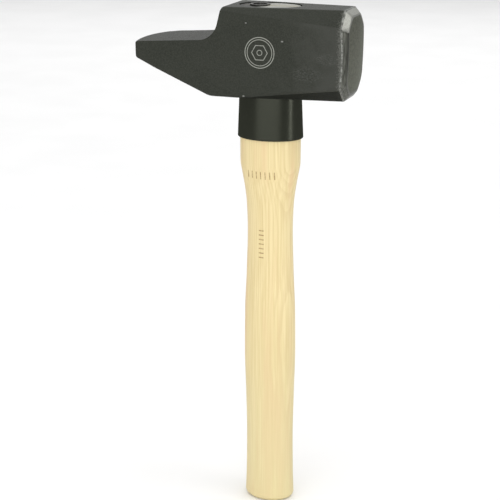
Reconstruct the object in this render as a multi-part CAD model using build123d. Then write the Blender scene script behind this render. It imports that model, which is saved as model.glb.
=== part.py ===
from build123d import *
import math
import os

# Cross peen hammer with an oval hickory handle.
# Millimetres. Z runs up the handle from the butt end, +X points to the striking face,
# and Y is the thickness of the head. The origin is the centre of the flat butt end.

# Head, measured from the centre of its eye
HEAD_Z = 288.0            # height of the head's mid plane above the butt end
HALF_H = 25.9             # half height of the head body
HALF_W = 19.3             # half width across the cheeks
FACE_X = 52.0             # middle of the crowned striking face
FACE_LEAN = 0.6           # the top of the face stands this much forward, the bottom back
CROWN_R = 300.0           # radius of the crown
BEVEL = 4.2               # 45 degree ground bevel round the face
CORNER_CUT = 9.6          # octagon corner cut where the body meets the face
CORNER_START_TOP_X = -50.0    # the upper corner cuts would run out to nothing here
CORNER_START_LOW_X = -16.5    # the lower corner cuts run out to nothing here

# Shoulder and peen
SHOULDER_X = -23.6        # where the top of the body ends
SHOULDER_ROOT_X = -28.4   # foot of the shoulder before it is blended into the peen
SHOULDER_ROOT_Z = 7.3
SHOULDER_BLEND_R = 12.6
SHOULDER_EDGE_R = 1.2
PEEN_END_X = -79.2        # the wedge is drawn to here, then trimmed by the curved tip
PEEN_TOP_Z = 4.1
PEEN_LOW_Z = -5.6
PEEN_EDGE_R = 1.3         # rounding of the two long edges of the tip
SLOPE_END_X = -31.2       # where the sloping underside meets the flat underside
SLOPE_BLEND_R = 11.8

# Tip seen from above: a gentle arc, ground a little askew. X at the front, middle and back
TIP_FRONT_X = -77.9
TIP_MIDDLE_X = -78.8
TIP_BACK_X = -73.2
TIP_CORNER_R = 1.2

# Eye, half length along X and half width along Y, from the underside up to the top
EYE_BOTTOM = (17.9, 11.8)
EYE_WAIST = (17.6, 11.5)
EYE_TOP = (18.5, 12.1)
EYE_TOP_RISE = 1.0        # the top section lies this far above the head

# Handle stations: height above the butt end, half width in X, half width in Y
HANDLE_STATIONS = (
    (3.4, 15.8, 12.3),
    (17.6, 15.3, 11.9),
    (45.0, 15.0, 11.7),
    (70.5, 15.5, 12.1),
    (100.0, 16.2, 12.6),
    (127.5, 15.9, 12.4),
    (153.0, 14.8, 11.5),
    (179.5, 14.1, 10.9),
    (195.0, 14.6, 11.1),
    (205.0, 15.7, 11.8),
    (213.5, 17.2, 12.8),
    (221.5, 18.5, 13.7),
    (236.5, 18.6, 13.7),
)
BUTT_ROUND = 3.2          # rounding of the rim at the butt end
TANG_TOP_Z = HEAD_Z + HALF_H - 0.4

# Protective sleeve
SLEEVE_TOP = (19.0, 13.3)
SLEEVE_BOTTOM = (20.0, 15.0)
SLEEVE_HEIGHT = 25.7

# Wedges
KERF_HALF_LENGTH = 16.2
WEDGE_DEPTH = 33.0
WEDGE_TOP_T = 3.0
WEDGE_TIP_T = 0.8
RING_X = -6.4             # the ring wedge sits toward the peen
RING_OUTER_R = 5.9
RING_WALL = 1.6
RING_TIP_WALL = 0.16      # the ring tapers to this at its driven end
RING_DEPTH = 15.0
RING_PROUD = 0.8


def oval(half_x, half_y, z):
    """An oval section across the handle at height z."""
    return Plane.XY.offset(z) * Ellipse(half_x, half_y)


def tang_solid():
    """The part of the handle that fills the eye."""
    low = oval(EYE_BOTTOM[0], EYE_BOTTOM[1], HEAD_Z - HALF_H)
    mid = oval(EYE_WAIST[0], EYE_WAIST[1], HEAD_Z)
    top = oval(EYE_TOP[0], EYE_TOP[1], HEAD_Z + HALF_H + EYE_TOP_RISE)
    return loft([low, mid, top])


def head_profile():
    """Side outline of the head, from the face round over the peen."""
    outline = Polyline(
        (PEEN_END_X, PEEN_TOP_Z),
        (SHOULDER_ROOT_X, SHOULDER_ROOT_Z),
        (SHOULDER_X, HALF_H),
        (FACE_X + FACE_LEAN, HALF_H),
        (FACE_X - FACE_LEAN, -HALF_H),
        (SLOPE_END_X, -HALF_H),
        (PEEN_END_X, PEEN_LOW_Z),
        close=True,
    )
    face = make_face(outline)
    face = round_corner(face, SHOULDER_ROOT_X, SHOULDER_ROOT_Z, SHOULDER_BLEND_R)
    face = round_corner(face, SHOULDER_X, HALF_H, SHOULDER_EDGE_R)
    return round_corner(face, SLOPE_END_X, -HALF_H, SLOPE_BLEND_R)


def round_corner(face, x, z, radius):
    """Round the corner of a flat outline that lies nearest to (x, z)."""
    corner = face.vertices().sort_by_distance((x, z, 0))[0]
    return fillet(corner, radius)


def tip_plan():
    """Outline seen from above: parallel cheeks and a gently curved tip."""
    sides = Polyline(
        (TIP_FRONT_X, -HALF_W),
        (FACE_X + FACE_LEAN, -HALF_W),
        (FACE_X + FACE_LEAN, HALF_W),
        (TIP_BACK_X, HALF_W),
    )
    end = ThreePointArc((TIP_BACK_X, HALF_W), (TIP_MIDDLE_X, 0), (TIP_FRONT_X, -HALF_W))
    return make_face(sides.edges() + end.edges())


def soften_tip(body):
    """Round the long edges of the tip, then its two corners."""
    tip = body.faces().sort_by(Axis.X)[0]
    long_edges = [e for e in tip.edges() if e.geom_type != GeomType.LINE]
    body = fillet(long_edges, PEEN_EDGE_R)
    tip = body.faces().sort_by(Axis.X)[0]
    return fillet(tip.edges().filter_by(Axis.Z), TIP_CORNER_R)


def corner_plane(side_y, side_z):
    """Flat corner cut that grows from nothing at the peen side to the octagonal face."""
    start_x = CORNER_START_TOP_X if side_z > 0 else CORNER_START_LOW_X
    apex = Vector(start_x, side_y * HALF_W, side_z * HALF_H)
    on_top = Vector(FACE_X, side_y * (HALF_W - CORNER_CUT), side_z * HALF_H)
    on_side = Vector(FACE_X, side_y * HALF_W, side_z * (HALF_H - CORNER_CUT))
    normal = (on_top - apex).cross(on_side - apex).normalized()
    if normal.Y * side_y < 0:
        normal = normal * -1
    return Plane(origin=apex, z_dir=normal)


def hammer_head():
    """Forged head with the eye cut through it."""
    body = extrude(Plane.XZ * head_profile(), amount=HALF_W, both=True)
    body = soften_tip(body & extrude(tip_plan(), amount=2 * HALF_H, both=True))
    for side_y in (-1, 1):
        for side_z in (-1, 1):
            body = split(body, bisect_by=corner_plane(side_y, side_z), keep=Keep.BOTTOM)
    face_end = body.faces().sort_by(Axis.X)[-1]
    body = chamfer(face_end.edges(), BEVEL)
    return Pos(0, 0, HEAD_Z) * (body & crown_ball()) - tang_solid()


def crown_ball():
    """Ball whose surface is the crowned face, turned with the face's lean."""
    lean = math.atan2(FACE_LEAN, HALF_H)
    centre_x = FACE_X - CROWN_R * math.cos(lean)
    centre_z = CROWN_R * math.sin(lean)
    return Pos(centre_x, 0, centre_z) * Sphere(CROWN_R)


def wedge_solid():
    """Thin wooden wedge lying along the eye."""
    top_z = TANG_TOP_Z
    tip_z = top_z - WEDGE_DEPTH
    taper = Polyline(
        (-WEDGE_TOP_T / 2, top_z),
        (WEDGE_TOP_T / 2, top_z),
        (WEDGE_TIP_T / 2, tip_z),
        (-WEDGE_TIP_T / 2, tip_z),
        close=True,
    )
    return extrude(Plane.YZ * make_face(taper), amount=KERF_HALF_LENGTH, both=True)


def ring_solid():
    """Tapered steel ring driven into the end of the handle."""
    top_z = TANG_TOP_Z + RING_PROUD
    tip_z = TANG_TOP_Z - RING_DEPTH
    inner = RING_OUTER_R - RING_WALL
    wall = Polyline(
        (inner, top_z),
        (RING_OUTER_R, top_z),
        (inner + RING_TIP_WALL, tip_z),
        (inner, tip_z),
        close=True,
    )
    return Pos(RING_X, 0, 0) * revolve(Plane.XZ * make_face(wall), Axis.Z)


def handle_body():
    """Oval handle from the butt end up to the underside of the head."""
    sections = [oval(a, b, z) for z, a, b in HANDLE_STATIONS]
    sections.append(oval(EYE_BOTTOM[0], EYE_BOTTOM[1], HEAD_Z - HALF_H))
    grip = loft(sections)
    z, a, b = HANDLE_STATIONS[0]
    end = extrude(oval(a, b, 0), amount=z)
    end = fillet(end.faces().sort_by(Axis.Z)[0].edges(), BUTT_ROUND)
    return grip + end


def handle():
    """Handle with its tang trimmed to length, slotted for the wedges."""
    wood = handle_body() + tang_solid()
    wood = split(wood, bisect_by=Plane.XY.offset(TANG_TOP_Z), keep=Keep.BOTTOM)
    return wood - wedge_solid() - ring_solid()


def wooden_wedge():
    """Wedge left after the ring has been driven through it."""
    return wedge_solid() - ring_solid()


def protective_sleeve():
    """Short collar round the handle, pushed up against the head."""
    top_z = HEAD_Z - HALF_H
    low = oval(SLEEVE_BOTTOM[0], SLEEVE_BOTTOM[1], top_z - SLEEVE_HEIGHT)
    high = oval(SLEEVE_TOP[0], SLEEVE_TOP[1], top_z)
    return loft([low, high]) - handle_body()


def write(name, shape, colour):
    """Write one named piece."""
    solid = shape.solids()[0]
    solid.label = name
    solid.color = Color(*colour)
    export_step(solid, f"parts/{name}.step")


os.makedirs("parts", exist_ok=True)
write("hammer_head", hammer_head(), (0.2, 0.21, 0.2))
write("handle", handle(), (0.88, 0.76, 0.55))
write("protective_sleeve", protective_sleeve(), (0.08, 0.09, 0.09))
write("wooden_wedge", wooden_wedge(), (0.8, 0.62, 0.4))
write("ring_wedge", ring_solid(), (0.6, 0.6, 0.6))
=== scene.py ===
"""Looks for a cross peen hammer: forged head, hickory handle, black sleeve and wedges.

Everything is in metres in the CAD frame: +Z up the handle, +X to the striking face.
Helper sizes are written in millimetres and turned into metres with MM.
"""

import math

import bpy
import numpy as np
from mathutils import Matrix, Vector, noise


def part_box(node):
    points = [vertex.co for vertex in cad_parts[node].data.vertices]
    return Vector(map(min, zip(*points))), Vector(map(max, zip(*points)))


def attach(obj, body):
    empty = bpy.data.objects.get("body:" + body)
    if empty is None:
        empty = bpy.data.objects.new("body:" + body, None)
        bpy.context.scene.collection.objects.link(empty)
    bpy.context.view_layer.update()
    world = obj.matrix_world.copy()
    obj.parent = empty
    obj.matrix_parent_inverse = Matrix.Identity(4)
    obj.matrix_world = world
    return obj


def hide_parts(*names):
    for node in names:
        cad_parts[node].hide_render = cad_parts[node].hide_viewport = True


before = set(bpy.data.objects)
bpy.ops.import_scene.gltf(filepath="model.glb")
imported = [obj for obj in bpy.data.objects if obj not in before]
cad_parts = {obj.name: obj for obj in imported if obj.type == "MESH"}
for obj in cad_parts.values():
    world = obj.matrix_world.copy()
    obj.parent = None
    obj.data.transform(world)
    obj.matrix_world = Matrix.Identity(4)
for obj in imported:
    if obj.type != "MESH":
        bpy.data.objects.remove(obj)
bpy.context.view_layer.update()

MM = 0.001


def box_mm(node):
    """Lowest and highest corner of a CAD node, in millimetres."""
    return [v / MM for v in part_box(node)]


head_lo, head_hi = box_mm("hammer_head")
sleeve_lo, sleeve_hi = box_mm("protective_sleeve")
handle_top = box_mm("handle")[1].z
HEAD_Z = (head_lo.z + head_hi.z) / 2
HALF_H = (head_hi.z - head_lo.z) / 2
HALF_W = (head_hi.y - head_lo.y) / 2
FACE_X = head_hi.x
TIP_X = head_lo.x


# ---------------------------------------------------------------- geometry helpers

def smoothstep(t):
    """0 below 0, 1 above 1, smooth between."""
    t = np.clip(t, 0.0, 1.0)
    return t * t * (3 - 2 * t)


def fillet_path(points, radii, steps=10):
    """Polyline through 2-D points with its inner corners rounded."""
    out = [np.array(points[0], float)]
    for i in range(1, len(points) - 1):
        p, a, b = (np.array(points[j], float) for j in (i, i - 1, i + 1))
        u = (a - p) / np.linalg.norm(a - p)
        v = (b - p) / np.linalg.norm(b - p)
        half = math.acos(np.clip(np.dot(u, v), -1, 1)) / 2
        reach = radii[i - 1] / math.tan(half)
        centre = p + (u + v) / np.linalg.norm(u + v) * radii[i - 1] / math.sin(half)
        start = p + u * reach - centre
        end = p + v * reach - centre
        sweep = math.pi - 2 * half
        turn = math.copysign(1, start[0] * end[1] - start[1] * end[0])
        for k in range(steps + 1):
            ang = turn * sweep * k / steps
            c, s = math.cos(ang), math.sin(ang)
            out.append(centre + np.array([c * start[0] - s * start[1], s * start[0] + c * start[1]]))
    out.append(np.array(points[-1], float))
    return np.array(out)


def resample(path, step):
    """Points along a polyline no further apart than step."""
    out = [path[0]]
    for a, b in zip(path[:-1], path[1:]):
        n = max(1, int(math.ceil(np.linalg.norm(b - a) / step)))
        out.extend(a + (b - a) * k / n for k in range(1, n + 1))
    return np.array(out)


def skin(name, rings, face_material=None, close_ends=True, smooth=True):
    """Closed mesh through rings of points, each ring going round in the same order.
    face_material holds a material slot for each strip between two rings."""
    rings = np.asarray(rings)
    n, m = rings.shape[:2]
    verts = rings.reshape(-1, 3)
    i, j = np.meshgrid(np.arange(n - 1), np.arange(m), indexing="ij")
    k = (j + 1) % m
    quads = np.stack([i * m + j, i * m + k, (i + 1) * m + k, (i + 1) * m + j], -1).reshape(-1, 4)
    faces = quads.tolist()
    if close_ends:
        faces.append(list(range(m))[::-1])
        faces.append([(n - 1) * m + q for q in range(m)])
    mesh = bpy.data.meshes.new(name)
    mesh.from_pydata((verts * MM).tolist(), [], faces)
    mesh.polygons.foreach_set("use_smooth", [smooth] * len(faces))
    if face_material is not None:
        ends = [face_material[0], face_material[-1]] if close_ends else []
        mesh.polygons.foreach_set("material_index", np.repeat(face_material, m).tolist() + ends)
    mesh.validate()
    mesh.update()
    obj = bpy.data.objects.new(name, mesh)
    bpy.context.scene.collection.objects.link(obj)
    return obj


def sink(obj, layers):
    """Uneven surface: moves each point inward by smooth noise, never outward.
    layers: (size mm, depth mm)."""
    mesh = obj.data
    count = len(mesh.vertices)
    place = np.zeros(count * 3)
    normal = np.zeros(count * 3)
    mesh.vertices.foreach_get("co", place)
    mesh.vertices.foreach_get("normal", normal)
    place, normal = place.reshape(-1, 3), normal.reshape(-1, 3)
    depth = np.zeros(count)
    for size, amount in layers:
        depth += [amount * (0.5 + 0.5 * noise.noise(Vector(p) / (size * MM))) for p in place]
    place -= normal * np.maximum(depth, 0)[:, None] * MM
    mesh.vertices.foreach_set("co", place.ravel())
    mesh.update()


def apply_modifiers(obj):
    """Makes the modified shape the object's own mesh."""
    graph = bpy.context.evaluated_depsgraph_get()
    mesh = bpy.data.meshes.new_from_object(obj.evaluated_get(graph))
    obj.modifiers.clear()
    obj.data = mesh


def cut(obj, cutter):
    """Takes cutter out of obj and throws cutter away."""
    mod = obj.modifiers.new("cut", "BOOLEAN")
    mod.operation = "DIFFERENCE"
    mod.solver = "EXACT"
    mod.object = cutter
    apply_modifiers(obj)
    bpy.data.objects.remove(cutter)


def oval_ring(half_x, half_y, z, count=128):
    """Points round an oval section at height z."""
    ang = np.linspace(0, 2 * math.pi, count, endpoint=False)
    return np.stack([half_x * np.cos(ang), half_y * np.sin(ang), np.full(count, z)], -1)


# ---------------------------------------------------------------- head

BEVEL = 4.2               # 45 degree ground bevel round the face
CORNER_CUT = 9.6          # octagon corner cut where the body meets the face
CUT_START_TOP = -50.0     # x where the upper corner cuts would run out to nothing
CUT_START_LOW = -16.5     # x where the lower ones do
EDGE_CUT = 0.25           # what is cut off the long edges where there is no corner cut
MIN_CUT = 0.3             # smallest corner cut of a section
CUT_SHRINK = 0.586        # a corner cut shrinks by this share of the inset
EDGE_ROUND = 0.8          # rounding of the long edges
RIM_ROUND = 2.6           # added to it on the rim of the face
MAX_ROUND = 0.4           # a rounding takes at most this share of a side
TIP_ROUND = 1.4           # rounding of the two long edges of the tip
TIP_CORNER_R = 1.2        # rounding of the tip's two corners
TIP_PLAN_R = 57.3         # the tip's curve seen from above
TIP_APEX_Y = -7.0         # its foremost point: it is ground a little askew
TIP_BLEND = 16.0          # length over which the curve fades out
CROWN_R = 300.0           # crown of the striking face
FACE_LEAN = 0.6           # the top of the face stands this much forward, the bottom back
CROWN_HIGH_Z = CROWN_R * FACE_LEAN / HALF_H
RIM_BOW = 1.2             # the bevel's edge bows this far toward the face on the cheeks
BOW_REACH = 7.0           # length over which the bow fades out
BOW_END_GAP = 9.0         # it starts this far in from the top and the bottom
PEEN_CROWN = 0.3          # the peen's top is higher along its middle
PEEN_TWIST = 0.35         # and toward the far cheek
ROOT_X = -28.4            # foot of the shoulder before it is rounded
SHOULDER_X = -23.6        # where the top of the body ends
TOP_PATH = fillet_path(
    [(TIP_X, 4.1), (ROOT_X, 7.3), (SHOULDER_X, HALF_H), (FACE_X, HALF_H)], [12.6, 1.4]
)
LOW_PATH = fillet_path([(TIP_X, -5.6), (-31.2, -HALF_H), (FACE_X, -HALF_H)], [11.8])
BODY_END = FACE_X - BEVEL

# How finely the head is divided
BODY_STEP = 1.2
BEVEL_STEP = 0.4
BEVEL_LEAD = 1.6          # the bevel's fine sections start this far before it
TIP_FINE = 4.2            # and the tip's end this far behind it
CORNER_POINTS = 5
# steps along the near cheek, cut, top, cut, far cheek, cut, underside, cut
SIDE_POINTS = (40, 9, 30, 9, 40, 9, 30, 9)
LOWER_FAR_CUT = 5         # its place in that list

# Material slots of the head; the last one is for the underside, darkened with painted shade
FORGED, GROUND, FACE, RIM, UNDERSIDE_SHADE = range(5)


def corner_cut(x, start):
    """Size of the corner cut at x, for cuts that start at start."""
    return max(0.0, CORNER_CUT * (x - start) / (FACE_X - start))


def quarter_fall(radius, along):
    """How far a quarter round has fallen away at a distance along from its end."""
    return radius - math.sqrt(radius**2 - (radius - along) ** 2)


def head_octagon(x, inset):
    """Corners of the section across the head at x, moved inward by inset."""
    top = np.interp(x, TOP_PATH[:, 0], TOP_PATH[:, 1])
    low = np.interp(x, LOW_PATH[:, 0], LOW_PATH[:, 1])
    wide = HALF_W
    along = max(x - TIP_X, 0.0)
    if along < TIP_CORNER_R:
        wide -= quarter_fall(TIP_CORNER_R, along)
    if along < TIP_ROUND:
        top -= quarter_fall(TIP_ROUND, along)
        low += quarter_fall(TIP_ROUND, along)
    cut_top = max(corner_cut(x, CUT_START_TOP) - (HALF_H - top), EDGE_CUT)
    cut_low = max(corner_cut(x, CUT_START_LOW) - (HALF_H + low), EDGE_CUT)
    cut_top = max(cut_top - CUT_SHRINK * inset, MIN_CUT)
    cut_low = max(cut_low - CUT_SHRINK * inset, MIN_CUT)
    w, t, b = wide - inset, top - inset, low + inset
    return np.array([
        (-w, b + cut_low), (-w, t - cut_top), (-w + cut_top, t), (w - cut_top, t),
        (w, t - cut_top), (w, b + cut_low), (w - cut_low, b), (-w + cut_low, b),
    ])


def head_ring(x, inset):
    """Section as a rounded octagon, with the same number of points everywhere."""
    corners = head_octagon(x, inset)
    count = len(corners)
    reach = EDGE_ROUND + RIM_ROUND * min(inset / BEVEL, 1)
    pts = []
    for k in range(count):
        a, p, q, r = (corners[(k + j) % count] for j in (-1, 0, 1, 2))
        side = np.linalg.norm(q - p)
        before = np.linalg.norm(p - a)
        after = np.linalg.norm(r - q)
        here = min(reach, MAX_ROUND * side, MAX_ROUND * before)
        there = min(reach, MAX_ROUND * side, MAX_ROUND * after)
        u = (q - p) / side
        back = (a - p) / before
        one, two = p + back * here, p + u * here
        for s in np.linspace(0, 1, CORNER_POINTS):
            pts.append((1 - s) ** 2 * one + 2 * s * (1 - s) * p + s * s * two)
        start, end = p + u * here, q - u * there
        for s in np.linspace(0, 1, SIDE_POINTS[k] + 1)[1:-1]:
            pts.append(start + (end - start) * s)
    pts = np.array(pts)
    return np.column_stack([np.full(len(pts), x), pts[:, 0], pts[:, 1]])


def tip_fall(y):
    """How far the curved tip falls back from its foremost point."""
    return (y - TIP_APEX_Y) ** 2 / (2 * TIP_PLAN_R)


def face_x(y, z):
    """Height of the crowned face, highest a little above its middle."""
    return FACE_X - (y * y + (z - CROWN_HIGH_Z) ** 2) / (2 * CROWN_R)


def head_stations():
    """Where the sections lie, as (x, inset): closer together where the outline turns quickly."""
    top = resample(TOP_PATH, BODY_STEP)
    body = [x for x in top[:, 0] if TIP_X + TIP_FINE < x < BODY_END - BEVEL_LEAD]
    ease = TIP_X + TIP_FINE * (1 - np.cos(np.linspace(0, math.pi / 2, 14)))
    along = sorted(set(np.round(np.concatenate([ease, body]), 3)))
    bevel = fillet_path(
        [(BODY_END - BEVEL_LEAD, 0.0), (BODY_END, 0.0), (FACE_X, BEVEL), (FACE_X, BEVEL + 2.0)],
        [0.7, 0.9], 6,
    )
    return [(x, 0.0) for x in along] + [tuple(p) for p in resample(bevel, BEVEL_STEP)]


def shaped_ring(x, inset):
    """Section at x with everything that makes the head less regular than a prism."""
    ring = head_ring(min(x, FACE_X), inset)
    y, z = ring[:, 1], ring[:, 2]
    on_face = min(inset / BEVEL, 1)
    # the tip is gently curved seen from above, and ground a little askew
    near_tip = 1 - smoothstep((x - TIP_X) / TIP_BLEND)
    ring[:, 0] += near_tip * tip_fall(y)
    # the ground bevel's edge bows toward the face in the middle of each cheek
    near_face = smoothstep((x - (BODY_END - BOW_REACH)) / BOW_REACH) * (1 - on_face)
    bow = np.clip(1 - (z / (HALF_H - BOW_END_GAP)) ** 2, 0, 1)
    on_cheek = smoothstep((np.abs(y) - HALF_W + 5) / 4)
    ring[:, 0] += near_face * RIM_BOW * (bow * on_cheek)
    # leaning, crowned face
    ring[:, 0] += FACE_LEAN * z / HALF_H * on_face
    ring[:, 0] = np.minimum(ring[:, 0], face_x(y, z))
    # the top of the peen is a little higher along its middle and toward the far cheek
    on_peen = 1 - smoothstep((x - ROOT_X + 4) / 10)
    rise = PEEN_CROWN * (1 - (y / HALF_W) ** 2) + PEEN_TWIST * y / HALF_W
    ring[:, 2] += on_peen * rise * smoothstep((z - 1.5) / 2)
    return ring


def strip_material(x, inset):
    """Material slot of the strip of faces whose middle lies at (x, inset)."""
    if x < BODY_END - 0.6:
        return FORGED
    if inset < 0.45 or abs(inset - BEVEL) < 0.3:
        return RIM
    return GROUND if inset < BEVEL else FACE


def head_mesh():
    """The whole head without its eye."""
    stations = head_stations()
    rings = [shaped_ring(x, inset) for x, inset in stations]
    middles = [np.mean(pair, axis=0) for pair in zip(stations[:-1], stations[1:])]
    materials = [strip_material(x, inset) for x, inset in middles]
    # the striking face closes in on its middle
    last = rings[-1]
    for k in np.linspace(0.9, 0.0, 14)[:-1]:
        y, z = last[:, 1] * k, last[:, 2] * k
        rings.append(np.column_stack([face_x(y, z), y, z]))
        materials.append(FACE)
    # and so does the end of the tip
    first = rings[0]
    middle = (first[:, 2].max() + first[:, 2].min()) / 2
    for k in np.linspace(0.85, 0.0, 8)[:-1]:
        ring = first.copy()
        ring[:, 1] *= k
        ring[:, 2] = middle + (ring[:, 2] - middle) * k
        ring[:, 0] = TIP_X + tip_fall(ring[:, 1])
        rings.insert(0, ring)
        materials.insert(0, FORGED)
    rings = np.array(rings)
    rings[:, :, 2] += HEAD_Z
    # skin wants the points the other way round, so the columns are counted from the end
    obj = skin("forged_head", rings[:, ::-1], materials)
    # the lower corner cuts and the underside get a separate material, darkened with painted shade and less
    # shiny
    columns = rings.shape[1]
    low_start = sum(CORNER_POINTS - 1 + n for n in SIDE_POINTS[:LOWER_FAR_CUT]) + CORNER_POINTS // 2
    for face in obj.data.polygons[:columns * (len(rings) - 1)]:
        if face.material_index == FORGED and columns - 1 - face.index % columns > low_start:
            face.material_index = UNDERSIDE_SHADE
    return obj


head = head_mesh()
sink(head, [(16, 0.07), (5, 0.03)])
# slightly wider than the wood, so that a thin dark gap shows round it
eye = skin("eye_cutter", [
    oval_ring(18.1, 12.0, head_lo.z - 2),
    oval_ring(17.8, 11.7, HEAD_Z),
    oval_ring(18.9, 12.5, head_hi.z + 2),
], smooth=False)

# ---------------------------------------------------------------- handle

# Height above the butt end, half width in X, half width in Y
HANDLE_STATIONS = np.array([
    (3.4, 15.8, 12.3), (17.6, 15.3, 11.9), (45.0, 15.0, 11.7), (70.5, 15.5, 12.1),
    (100.0, 16.2, 12.6), (127.5, 15.9, 12.4), (153.0, 14.8, 11.5), (179.5, 14.1, 10.9),
    (195.0, 14.6, 11.1), (205.0, 15.7, 11.8), (213.5, 17.2, 12.8), (221.5, 18.5, 13.7),
    (236.5, 18.6, 13.7), (262.1, 17.9, 11.8), (288.0, 17.6, 11.5), (313.5, 18.4, 12.05),
])
HANDLE_STEP = 1.5
BUTT_ROUND = 3.4
BUTT_FLAT = (12.5, 9.0)   # half widths of the flat inside the rounding
BUTT_LIFT = 0.02          # keeps the end just above the CAD's
TANG_EDGE = 0.35          # rounding of the sawn edge in the eye
WEDGE_TIP = 0.4           # half thickness of the wooden wedge at its driven end


def smooth_curve(x, xs, ys):
    """Piecewise cubic through the stations that never overshoots (Fritsch and Carlson slopes)."""
    h = np.diff(xs)
    d = np.diff(ys) / h
    m = np.zeros(len(xs))
    m[0], m[-1] = d[0], d[-1]
    for k in range(1, len(xs) - 1):
        if d[k - 1] * d[k] > 0:
            w1, w2 = 2 * h[k] + h[k - 1], h[k] + 2 * h[k - 1]
            m[k] = (w1 + w2) / (w1 / d[k - 1] + w2 / d[k])
    i = np.clip(np.searchsorted(xs, x) - 1, 0, len(xs) - 2)
    t = (x - xs[i]) / h[i]
    return (
        (1 + 2 * t) * (1 - t) ** 2 * ys[i] + t * (1 - t) ** 2 * h[i] * m[i]
        + t * t * (3 - 2 * t) * ys[i + 1] + t * t * (t - 1) * h[i] * m[i + 1]
    )


def wood_ring(z, gap=0.0):
    """Section of the wood at height z, grown by gap."""
    a = smooth_curve(z, HANDLE_STATIONS[:, 0], HANDLE_STATIONS[:, 1])
    b = smooth_curve(z, HANDLE_STATIONS[:, 0], HANDLE_STATIONS[:, 2])
    return oval_ring(a + gap, b + gap, z)


def handle_mesh():
    """The wood from the butt end to the sawn end in the eye, before the wedges' slots."""
    rings = [oval_ring(BUTT_FLAT[0] * k, BUTT_FLAT[1] * k, BUTT_LIFT) for k in (0.03, 0.25, 0.5, 0.75)]
    a, b = HANDLE_STATIONS[0, 1:]
    for turn in np.linspace(0, math.pi / 2, 10):
        inset = BUTT_ROUND * (1 - math.sin(turn))
        rise = BUTT_ROUND * (1 - math.cos(turn))
        rings.append(oval_ring(a - inset, b - inset, rise + BUTT_LIFT))
    for z in np.arange(BUTT_ROUND + 1.2, handle_top - 0.6, HANDLE_STEP):
        rings.append(wood_ring(z))
    a, b = HANDLE_STATIONS[-1, 1:]
    rings.append(oval_ring(a, b, handle_top - 0.4))
    rings.append(oval_ring(a - TANG_EDGE, b - TANG_EDGE, handle_top - 0.05))
    for k in (0.9, 0.7, 0.5, 0.3, 0.1):
        rings.append(oval_ring(a * k, b * k, handle_top))
    return skin("hickory_handle", rings)


def wedge_slot():
    """The whole wedge before the ring was driven through it, reaching a little above the wood."""
    lo, hi = box_mm("wooden_wedge")
    rings = []
    for z in (lo.z, hi.z + 1.0):
        half = WEDGE_TIP + (hi.y - WEDGE_TIP) * (z - lo.z) / (hi.z - lo.z)
        rings.append([(lo.x, -half, z), (hi.x, -half, z), (hi.x, half, z), (lo.x, half, z)])
    return skin("wedge_slot", rings, smooth=False)


handle = handle_mesh()
sink(handle, [(30, 0.12), (7, 0.05)])
ring_slot = bpy.data.objects.new("ring_slot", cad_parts["ring_wedge"].data.copy())
bpy.context.scene.collection.objects.link(ring_slot)
cut(handle, ring_slot)
cut(handle, wedge_slot())

# ---------------------------------------------------------------- sleeve

SLEEVE_TOP = (18.95, 13.25)
SLEEVE_LOW = (19.95, 14.95)
SLEEVE_LIP = 0.55         # rounding of the lower lip
SLEEVE_GAP = 0.03         # between the inside and the wood


def sleeve_ring(z, inset=0.0):
    """Outside of the sleeve at height z, moved inward by inset."""
    k = (z - sleeve_lo.z) / (sleeve_hi.z - sleeve_lo.z)
    a = SLEEVE_LOW[0] + (SLEEVE_TOP[0] - SLEEVE_LOW[0]) * k
    b = SLEEVE_LOW[1] + (SLEEVE_TOP[1] - SLEEVE_LOW[1]) * k
    return oval_ring(a - inset, b - inset, z)


def sleeve_mesh():
    """Thin collar with a rounded lower lip; the inside follows the wood."""
    low_z, top_z = sleeve_lo.z, sleeve_hi.z
    rings = [wood_ring(z, SLEEVE_GAP) for z in np.linspace(top_z - 0.02, low_z + 1.0, 22)]
    rings.append(wood_ring(low_z + 0.3, SLEEVE_GAP))
    rings.append(sleeve_ring(low_z, 0.75))
    for a in np.linspace(0.25, 1.0, 5) * math.pi / 2:
        rings.append(sleeve_ring(low_z + SLEEVE_LIP * (1 - math.cos(a)), SLEEVE_LIP * (1 - math.sin(a))))
    for z in np.linspace(low_z + 1.2, top_z - 0.5, 30):
        rings.append(sleeve_ring(z))
    rings.append(sleeve_ring(top_z - 0.1, 0.1))
    rings.append(sleeve_ring(top_z - 0.02, 0.4))
    rings.append(rings[0])
    obj = skin("black_sleeve", rings, close_ends=False)
    weld = obj.modifiers.new("weld", "WELD")
    weld.merge_threshold = 0.00001
    apply_modifiers(obj)
    return obj


sleeve = sleeve_mesh()


# ---------------------------------------------------------------- materials

GREEN_GREY = (0.96, 1.0, 0.88, 1)    # tint of reflections off the lacquered steel and the face
OLIVE = (0.95, 1.0, 0.80, 1)         # and off the sleeve


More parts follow.
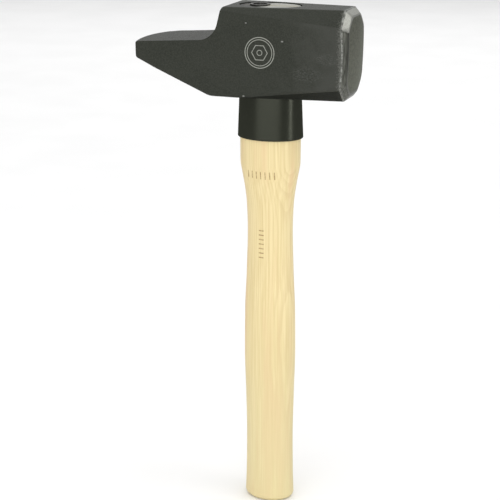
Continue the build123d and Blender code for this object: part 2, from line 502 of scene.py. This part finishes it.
class Look:
    """A material under construction: short calls that add nodes and return their outputs."""

    SOCKETS = {
        "color": "Base Color", "rough": "Roughness", "metal": "Metallic", "normal": "Normal",
        "tint": "Specular Tint", "specular": "Specular IOR Level",
        "coat": "Coat Weight", "coat_rough": "Coat Roughness",
    }

    def __init__(self, name):
        self.mat = bpy.data.materials.new(name)
        self.mat.use_nodes = True
        self.tree = self.mat.node_tree
        self.tree.nodes.clear()
        self.out = self.tree.nodes.new("ShaderNodeOutputMaterial")
        self.bsdf = self.tree.nodes.new("ShaderNodeBsdfPrincipled")
        self.tree.links.new(self.bsdf.outputs[0], self.out.inputs[0])

    def node(self, kind, inputs=None, **props):
        n = self.tree.nodes.new("ShaderNode" + kind)
        for key, value in props.items():
            setattr(n, key, value)
        for key, value in (inputs or {}).items():
            self.put(n.inputs[key], value)
        return n

    def put(self, socket, value):
        if isinstance(value, bpy.types.NodeSocket):
            self.tree.links.new(value, socket)
        else:
            socket.default_value = value

    def coords(self, scale=(1, 1, 1), shift=(0, 0, 0), rotate=(0, 0, 0)):
        """Object position in millimetres, shifted, turned and then stretched."""
        tex = self.node("TexCoord")
        to_mm = {0: tex.outputs["Object"], 1: (1000.0, 1000.0, 1000.0)}
        mm = self.node("VectorMath", to_mm, operation="MULTIPLY")
        place = {"Vector": mm.outputs[0], "Location": shift, "Rotation": rotate, "Scale": scale}
        return self.node("Mapping", place).outputs[0]

    def noise(self, vector, scale=1.0, detail=3.0, rough=0.55, warp=0.0):
        n = self.node("TexNoise", {
            "Vector": vector, "Scale": scale, "Detail": detail, "Roughness": rough, "Distortion": warp,
        })
        return n.outputs[0]

    def math(self, operation, a, b=0.0, c=0.0, clamp=False):
        n = self.node("Math", {0: a, 1: b, 2: c}, operation=operation, use_clamp=clamp)
        return n.outputs[0]

    def band(self, value, lo, hi, out_lo=0.0, out_hi=1.0):
        """Smooth step of value from out_lo at lo to out_hi at hi."""
        n = self.node("MapRange", {
            "Value": value, "From Min": lo, "From Max": hi, "To Min": out_lo, "To Max": out_hi,
        }, interpolation_type="SMOOTHSTEP")
        return n.outputs[0]

    def split(self, vector):
        """The three coordinates of a vector."""
        return self.node("SeparateXYZ", {0: vector}).outputs

    def product(self, *factors):
        out = factors[0]
        for factor in factors[1:]:
            out = self.math("MULTIPLY", out, factor)
        return out

    def distance(self, u, v):
        """Length of the flat vector (u, v)."""
        return self.math("SQRT", self.math("ADD", self.product(u, u), self.product(v, v)))

    def largest(self, values):
        out = values[0]
        for value in values[1:]:
            out = self.math("MAXIMUM", out, value)
        return out

    def mix(self, factor, a, b):
        n = self.node("Mix", data_type="RGBA")
        self.put(n.inputs[0], factor)
        self.put(n.inputs[6], a)
        self.put(n.inputs[7], b)
        return n.outputs[2]

    def bump(self, height, distance, strength=1.0, normal=None):
        n = self.node("Bump", {"Height": height, "Distance": distance, "Strength": strength})
        if normal is not None:
            self.put(n.inputs["Normal"], normal)
        return n.outputs[0]

    def spot(self, position, centre, radius, squash=(1, 1, 1)):
        """1 inside a small blot round centre (mm), 0 outside."""
        d = self.node("VectorMath", {0: position, 1: centre}, operation="SUBTRACT")
        d = self.node("VectorMath", {0: d.outputs[0], 1: squash}, operation="MULTIPLY")
        length = self.node("VectorMath", {0: d.outputs[0]}, operation="LENGTH")
        return self.band(length.outputs["Value"], radius, radius * 0.55, 0.0, 1.0)

    def eye_shade(self, position):
        """1 on the peen side of the sawn end, round the ring wedge, where painted shade darkens it."""
        x = self.split(position)[0]
        ragged = self.band(self.noise(position, 0.35, 3, 0.6), 0, 1, -3.0, 3.0)
        return self.band(self.math("ADD", x, ragged), EYE_SHADE_FROM, EYE_SHADE_FROM - 3.5)

    def gloss(self, amount, rough, normal):
        """Thin clear sheen of even strength over the base."""
        shine = self.node("BsdfGlossy", {"Color": OLIVE, "Roughness": rough, "Normal": normal})
        layers = {0: amount, 1: self.bsdf.outputs[0], 2: shine.outputs[0]}
        blend = self.node("MixShader", layers)
        self.tree.links.new(blend.outputs[0], self.out.inputs[0])

    def finish(self, **sockets):
        """Sets the named sockets of the shader."""
        for key, value in sockets.items():
            self.put(self.bsdf.inputs[self.SOCKETS[key]], value)
        return self.mat


# Places on the near cheek as (x, y, z), each with its radius
SCUFFS = (
    ((40.0, -HALF_W, HEAD_Z - 0.8), 7.0),
    ((28.6, -HALF_W, HEAD_Z - 10.0), 9.5),
)
CHIPS = (
    ((-8.2, -HALF_W, 305.5), 0.5),
    ((13.6, -HALF_W, 296.0), 0.6),
    ((-9.8, -HALF_W, 263.4), 0.6),
)
SCUFF_STRENGTH = 0.5
CHIP_STRENGTH = 0.4
MARK_RISE = 0.95          # the etched mark's middle above the middle of the head

# Burnt marks on the handle
BURN_PITCH = 2.8
BURN_COUNT = 7
BURN_ROW = (-1.6, 215.2)      # x and z of the middle of the row of bars
BURN_COLUMN = (-2.0, 172.0)   # and of the column of dashes

LIT_TOP_FROM = HEAD_Z + 15.8    # the ground bevel is painted bright above this height, a painted highlight
EYE_SHADE_FROM = -1.0             # painted shade darkens the sawn end from here toward the peen


def worn_lacquer(look, p, base, broad, grain):
    """Where the lacquer has suffered: the cheeks near the face, the bevel's edge, scuffs and chips."""
    x, y, z = look.split(p)
    # the cheeks are rubbed paler toward the face
    rub = look.band(look.math("ADD", x, look.band(broad, 0, 1, -16.0, 16.0)), 14.0, 44.0)
    depth = look.math("SUBTRACT", HALF_W, look.math("ABSOLUTE", y))
    rub = look.product(rub, look.band(depth, 0.7, 0.2), 0.65)
    base = look.mix(rub, base, (0.046, 0.047, 0.042, 1))
    # and worn through to grey in a ragged line along the bevel
    edge = look.math("ADD", x, look.band(grain, 0.3, 0.7, -1.6, 1.6))
    edge = look.band(edge, FACE_X - 6.4, FACE_X - 3.6, 0.0, 0.75)
    base = look.mix(edge, base, (0.11, 0.112, 0.100, 1))
    # small scratchy patches on the near cheek
    strokes = look.noise(look.coords(scale=(0.5, 1.0, 1.9), rotate=(0, 0.12, 0)), 1.5, 4, 0.7)
    strokes = look.band(strokes, 0.46, 0.64)
    for centre, radius in SCUFFS:
        area = look.spot(p, centre, radius, (0.8, 0.5, 1.7))
        base = look.mix(look.product(area, strokes, SCUFF_STRENGTH), base, (0.085, 0.086, 0.080, 1))
    # small chips to bright metal
    chips = look.largest([look.spot(p, centre, radius, (0.7, 0.5, 1.2)) for centre, radius in CHIPS])
    return look.mix(look.product(chips, CHIP_STRENGTH), base, (0.5, 0.5, 0.48, 1))


def etched_mark(look, p, grain):
    """Two thin rings round a hexagon and a small ring, on the near cheek."""
    x, y, z = look.split(p)
    z = look.math("SUBTRACT", z, HEAD_Z + MARK_RISE)
    r = look.distance(x, z)
    ax, az = look.math("ABSOLUTE", x), look.math("ABSOLUTE", z)
    slant = look.math("ADD", look.product(ax, 0.866), look.product(az, 0.5))
    hexagon = look.math("MAXIMUM", az, slant)
    lines = []
    for value, radius, width in ((r, 8.75, 0.20), (r, 7.45, 0.17), (hexagon, 4.1, 0.18), (r, 1.5, 0.17)):
        off = look.math("ABSOLUTE", look.math("SUBTRACT", value, radius))
        lines.append(look.band(off, width * 1.5, width * 0.6))
    front = look.band(y, -HALF_W + 1.0, -HALF_W + 0.8)
    return look.product(look.largest(lines), front, look.band(grain, 0.3, 0.5, 0.55, 0.85))


def forged_look(name, shaded_under=False):
    """Dark lacquered forging: soft mottling, fine grain, wear, small bright dings and a pale mark.
    The last argument, when true, makes the material of the lower corner cuts and the underside: painted
    shade darkens its colour and it shines less."""
    look = Look(name)
    p = look.coords()
    broad = look.noise(p, 0.07, 3, 0.6)
    grain = look.noise(p, 1.1, 4, 0.65)
    fine = look.noise(p, 3.2, 2, 0.6)
    base = look.mix(look.band(broad, 0.3, 0.7), (0.0100, 0.0115, 0.0082, 1), (0.0145, 0.016, 0.0122, 1))
    base = look.mix(look.band(grain, 0.35, 0.7, 0.0, 0.8), base, (0.028, 0.030, 0.024, 1))
    base = look.mix(look.band(fine, 0.5, 0.72, 0.0, 0.35), base, (0.060, 0.062, 0.052, 1))
    base = worn_lacquer(look, p, base, broad, grain)
    base = look.mix(etched_mark(look, p, grain), base, (0.36, 0.37, 0.33, 1))
    # painted shade: the lower corner cuts and the underside are darkened
    if shaded_under:
        base = look.mix(0.6, base, (0.008, 0.0085, 0.007, 1))
    rough = look.band(grain, 0.3, 0.75, 0.38, 0.56)
    normal = look.bump(broad, 0.0006, 0.25)
    normal = look.bump(grain, 0.0002, 0.9, normal)
    normal = look.bump(fine, 0.00004, 0.7, normal)
    shine = 0.05 if shaded_under else 0.245
    return look.finish(color=base, rough=rough, specular=shine, tint=GREEN_GREY, normal=normal)


def ground_look():
    """Ground steel of the bevel: a painted highlight makes it bright along the top; it is darker and
    streaked down the sides, with painted shade next to the face.
    """
    look = Look("ground_bevel")
    p = look.coords()
    x, y, z = look.split(p)
    in_from_cheek = look.math("SUBTRACT", HALF_W, look.math("ABSOLUTE", y))
    height = look.math("ADD", z, look.product(in_from_cheek, 0.6))
    scratches = look.noise(look.coords(scale=(0.5, 3.0, 3.0)), 1.2, 4, 0.7)
    patch = look.noise(p, 0.25, 3, 0.6)
    ragged = look.math("ADD", height, look.band(patch, 0, 1, -1.0, 1.0))
    # painted highlight: the bevel is made bright along its top
    lit_top = look.band(ragged, LIT_TOP_FROM, LIT_TOP_FROM + 1.2)
    streaks = look.noise(look.coords(scale=(1.4, 1.4, 0.12)), 1.0, 4, 0.65)
    base = look.mix(look.band(streaks, 0.35, 0.65), (0.050, 0.052, 0.043, 1), (0.150, 0.153, 0.132, 1))
    # painted shade: the bevel is darker next to the face
    inner_shade = look.math("ADD", x, look.band(streaks, 0, 1, -0.8, 0.8))
    inner_shade = look.product(look.band(inner_shade, FACE_X - 2.0, FACE_X - 0.6), 0.75)
    base = look.mix(inner_shade, base, (0.030, 0.031, 0.026, 1))
    bright = look.mix(look.band(scratches, 0.35, 0.7), (0.26, 0.262, 0.235, 1), (0.46, 0.465, 0.425, 1))
    base = look.mix(lit_top, base, bright)
    rough = look.band(scratches, 0.3, 0.7, 0.32, 0.48)
    normal = look.bump(scratches, 0.0001, 0.8)
    return look.finish(color=base, metal=0.9, rough=rough, normal=normal)


def rim_look():
    """Edges of the bevel: the outer one is rubbed back to pale steel in places."""
    look = Look("worn_rim")
    p = look.coords()
    patch = look.noise(p, 0.5, 4, 0.65)
    base = look.mix(look.band(patch, 0.35, 0.65), (0.075, 0.077, 0.067, 1), (0.26, 0.265, 0.245, 1))
    # painted shade: the rim next to the face is darkened, except along the top
    x, y, z = look.split(p)
    by_face = look.band(x, FACE_X - 2.4, FACE_X - 1.4)
    below_top = look.band(z, HEAD_Z + 16.5, HEAD_Z + 14.5)
    base = look.mix(look.product(by_face, below_top, 0.8), base, (0.040, 0.041, 0.034, 1))
    rough = look.band(patch, 0.3, 0.7, 0.35, 0.5)
    return look.finish(color=base, metal=0.8, rough=rough, normal=look.bump(patch, 0.0001, 0.6))


def face_look():
    """Striking face: satin mid grey with a faint mottle, and a painted highlight that makes it palest
    toward the far edge.
    """
    look = Look("striking_face")
    p = look.coords()
    mottle = look.noise(p, 0.5, 4, 0.65)
    fine = look.noise(p, 2.6, 3, 0.6)
    base = look.mix(look.band(mottle, 0.34, 0.66), (0.038, 0.039, 0.029, 1), (0.080, 0.081, 0.062, 1))
    # painted highlight: paler toward the far edge
    across = look.split(p)[1]
    base = look.mix(look.band(across, 2.0, 15.0, 0.0, 0.5), base, (0.11, 0.112, 0.098, 1))
    rough = look.band(fine, 0.3, 0.7, 0.42, 0.56)
    normal = look.bump(fine, 0.00008, 0.7, look.bump(mottle, 0.0002, 0.4))
    return look.finish(color=base, metal=0.6, rough=rough, tint=GREEN_GREY, normal=normal)


def late_wood(look):
    """Growth rings about a pith well behind the handle, so that its swellings cut them into long arches."""
    wobble = look.noise(look.coords(scale=(0.06, 0.06, 0.010)), 1.0, 2, 0.5)
    x, y, z = look.split(look.coords(shift=(52.0, -46.0, 0.0), rotate=(0.006, 0.008, 0.0)))
    radius = look.math("ADD", look.distance(x, y), look.band(wobble, 0, 1, -1.6, 1.6))
    year = look.math("FRACT", look.product(radius, 0.84))
    return look.product(look.band(year, 0.25, 0.86), look.band(year, 1.0, 0.9))


def burnt_marks(look, p):
    """A row of bars and a column of short dashes on the front, with no lettering."""
    x, y, z = look.split(p)
    rows = []
    for along, across, half_width, half_length, middle in (
        (x, z, 0.42, 2.5, BURN_ROW),
        (z, x, 0.50, 1.7, BURN_COLUMN[::-1]),
    ):
        du = look.math("SUBTRACT", along, middle[0])
        dv = look.math("SUBTRACT", across, middle[1])
        cell = look.math("ABSOLUTE", look.math("WRAP", du, BURN_PITCH / 2, -BURN_PITCH / 2))
        rows.append(look.product(
            look.band(cell, half_width, half_width * 0.4),
            look.band(look.math("ABSOLUTE", dv), half_length, half_length * 0.85),
            look.math("LESS_THAN", look.math("ABSOLUTE", du), BURN_PITCH * BURN_COUNT / 2),
        ))
    front = look.band(y, -6.5, -7.5)
    ink = look.band(look.noise(p, 0.9, 3, 0.6), 0.35, 0.65, 0.5, 0.92)
    return look.product(look.largest(rows), front, ink)


def sawn_end(look, p):
    """Colour of the end in the eye: greyed, with painted shade on the peen side round the ring wedge."""
    pores = look.noise(p, 1.6, 4, 0.7)
    grey = look.mix(look.band(pores, 0.35, 0.7), (0.40, 0.40, 0.36, 1), (0.23, 0.23, 0.205, 1))
    return look.mix(look.eye_shade(p), grey, (0.024, 0.024, 0.021, 1))


def hickory_look():
    """Clear lacquered hickory: faint growth-ring arches, pale streaks, fibres and burnt marks."""
    look = Look("hickory")
    streak = look.noise(look.coords(scale=(0.8, 0.8, 0.012)), 1.0, 4, 0.6)
    fibre = look.noise(look.coords(scale=(2.2, 2.2, 0.03)), 1.0, 3, 0.6)
    blush = look.noise(look.coords(scale=(0.13, 0.13, 0.012), shift=(3.0, 5.0, 1.0)), 1.0, 2, 0.5)
    p = look.coords()
    z = look.split(p)[2]
    base = look.mix(look.band(streak, 0.32, 0.68), (0.82, 0.69, 0.39, 1), (0.735, 0.60, 0.315, 1))
    base = look.mix(look.product(late_wood(look), 0.24), base, (0.60, 0.44, 0.215, 1))
    base = look.mix(look.band(blush, 0.46, 0.70, 0.0, 0.65), base, (0.74, 0.54, 0.30, 1))
    base = look.mix(look.band(fibre, 0.54, 0.76, 0.0, 0.28), base, (0.58, 0.43, 0.21, 1))
    # the end held in the hand is a little duller
    base = look.mix(look.band(z, 150.0, 10.0, 0.0, 0.45), base, (0.71, 0.64, 0.36, 1))
    marks = burnt_marks(look, p)
    base = look.mix(marks, base, (0.27, 0.145, 0.05, 1))
    base = look.mix(look.band(z, handle_top - 1.2, handle_top - 0.5), base, sawn_end(look, p))
    rough = look.band(fibre, 0.3, 0.75, 0.40, 0.54)
    height = look.math("SUBTRACT", look.product(fibre, -1.0), look.product(marks, 0.6))
    normal = look.bump(height, 0.0001, 0.5)
    return look.finish(color=base, rough=rough, specular=0.22, normal=normal, coat=0.05, coat_rough=0.25)


def sleeve_look():
    """Moulded black plastic: satin, with a faint flow mottle."""
    look = Look("sleeve_plastic")
    p = look.coords()
    mottle = look.noise(p, 0.35, 3, 0.6)
    fine = look.noise(p, 4.5, 2, 0.6)
    base = look.mix(look.band(mottle, 0.3, 0.7), (0.0035, 0.0042, 0.0022, 1), (0.006, 0.0068, 0.0042, 1))
    rough = look.band(fine, 0.3, 0.75, 0.22, 0.29)
    normal = look.bump(fine, 0.00003, 0.5)
    look.gloss(0.030, rough, normal)
    return look.finish(color=base, rough=0.8, specular=0.0, normal=normal)


def wedge_look():
    """Bare hardwood of the wedge, seen on its end grain, with painted shade at the ring."""
    look = Look("wedge_wood")
    grain = look.noise(look.coords(scale=(0.25, 2.5, 0.1)), 1.0, 4, 0.6)
    base = look.mix(look.band(grain, 0.3, 0.7), (0.40, 0.37, 0.29, 1), (0.27, 0.25, 0.19, 1))
    base = look.mix(look.product(look.eye_shade(look.coords()), 0.85), base, (0.03, 0.028, 0.022, 1))
    rough = look.band(grain, 0.3, 0.7, 0.5, 0.65)
    return look.finish(color=base, rough=rough, normal=look.bump(grain, 0.00012, 0.7))


def ring_look():
    """Plain steel of the ring wedge, marked by the blows that drove it in."""
    look = Look("ring_steel")
    marks = look.noise(look.coords(scale=(1.5, 1.5, 0.4)), 1.0, 4, 0.65)
    base = look.mix(look.band(marks, 0.35, 0.7), (0.16, 0.16, 0.15, 1), (0.07, 0.07, 0.065, 1))
    rough = look.band(marks, 0.3, 0.7, 0.35, 0.5)
    return look.finish(color=base, metal=1.0, rough=rough, normal=look.bump(marks, 0.00008, 0.7))


def floor_look():
    """Pale matt floor with a barely visible unevenness."""
    look = Look("pale_floor")
    soft = look.noise(look.coords(), 0.01, 2, 0.5)
    base = look.mix(look.band(soft, 0.3, 0.7), (0.90, 0.90, 0.90, 1), (0.92, 0.92, 0.92, 1))
    return look.finish(color=base, rough=look.band(soft, 0.3, 0.7, 0.75, 0.8))


def wear(obj, *materials):
    """Gives obj these materials in place of its own."""
    if obj.data.materials:
        obj.data.materials.clear()
    for material in materials:
        obj.data.materials.append(material)


# in the order of the head's material slots, and before the eye is cut, which would lose them
wear(
    head, forged_look("forged_lacquer"), ground_look(), face_look(), rim_look(),
    forged_look("underside_painted_shade", shaded_under=True),
)
cut(head, eye)
wear(handle, hickory_look())
wear(sleeve, sleeve_look())
wear(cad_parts["wooden_wedge"], wedge_look())
wear(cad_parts["ring_wedge"], ring_look())

for piece, node, slot in (
    (head, "hammer_head", "head"),
    (handle, "handle", "handle"),
    (sleeve, "protective_sleeve", "sleeve"),
):
    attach(piece, "root")
    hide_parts(node)

# ---------------------------------------------------------------- stage, lights, camera

FLOOR = 8.0
CORNERS = [(-FLOOR, -FLOOR, 0), (FLOOR, -FLOOR, 0), (FLOOR, FLOOR, 0), (-FLOOR, FLOOR, 0)]
floor_mesh = bpy.data.meshes.new("floor")
floor_mesh.from_pydata(CORNERS, [], [(0, 1, 2, 3)])
floor = bpy.data.objects.new("floor", floor_mesh)
bpy.context.scene.collection.objects.link(floor)
wear(floor, floor_look())

scene = bpy.context.scene
scene.view_settings.view_transform = "Standard"
world = bpy.data.worlds.new("studio")
scene.world = world
world.use_nodes = True
world.node_tree.nodes["Background"].inputs[0].default_value = (1, 1, 1, 1)
world.node_tree.nodes["Background"].inputs[1].default_value = 0.2

AIM = Vector((0, 0, 0.2))

# Azimuth 0 is in front of the near cheek (-Y), positive toward +X
LIGHTS = (
    # name, azimuth, elevation, distance, size, watts
    ("key", -4, 10, 1.9, (2.4, 1.0), 14.8),
    ("side_strip", 68, 0, 1.3, (0.15, 0.5), 1.8),
    ("corner", 88, 42, 1.5, (0.5, 0.5), 3.0),
    ("back", 190, 28, 2.4, (2.6, 1.4), 9),
    ("overhead", 0, 86, 3.6, (9.0, 9.0), 300),
)


def softbox(name, azimuth, elevation, distance, size, watts):
    """Area light aimed at the hammer."""
    az, el = math.radians(azimuth), math.radians(elevation)
    toward = Vector((math.sin(az) * math.cos(el), -math.cos(az) * math.cos(el), math.sin(el)))
    offset = toward * distance
    light = bpy.data.lights.new(name, "AREA")
    light.shape = "RECTANGLE"
    light.size, light.size_y = size
    light.energy = watts
    obj = bpy.data.objects.new(name, light)
    scene.collection.objects.link(obj)
    obj.location = AIM + offset
    obj.rotation_euler = offset.to_track_quat("Z", "Y").to_euler()


for row in LIGHTS:
    softbox(*row)

CAMERA_PLACE = (0.25330, -0.72196, HEAD_Z * MM + 0.12337)
CAMERA_YAW = math.radians(20.258)       # about the vertical, turned toward the peen
CAMERA_PITCH = math.radians(17.83)      # looking down
CAMERA_ROLL = math.radians(-0.166)

camera_data = bpy.data.cameras.new("camera")
camera_data.sensor_width = 36.0
camera_data.lens = 94.70
camera_data.clip_start = 0.05
camera = bpy.data.objects.new("camera", camera_data)
scene.collection.objects.link(camera)
turn = (
    Matrix.Rotation(CAMERA_YAW, 4, "Z")
    @ Matrix.Rotation(math.pi / 2 - CAMERA_PITCH, 4, "X")
    @ Matrix.Rotation(CAMERA_ROLL, 4, "Z")
)
camera.matrix_world = Matrix.Translation(CAMERA_PLACE) @ turn
scene.camera = camera
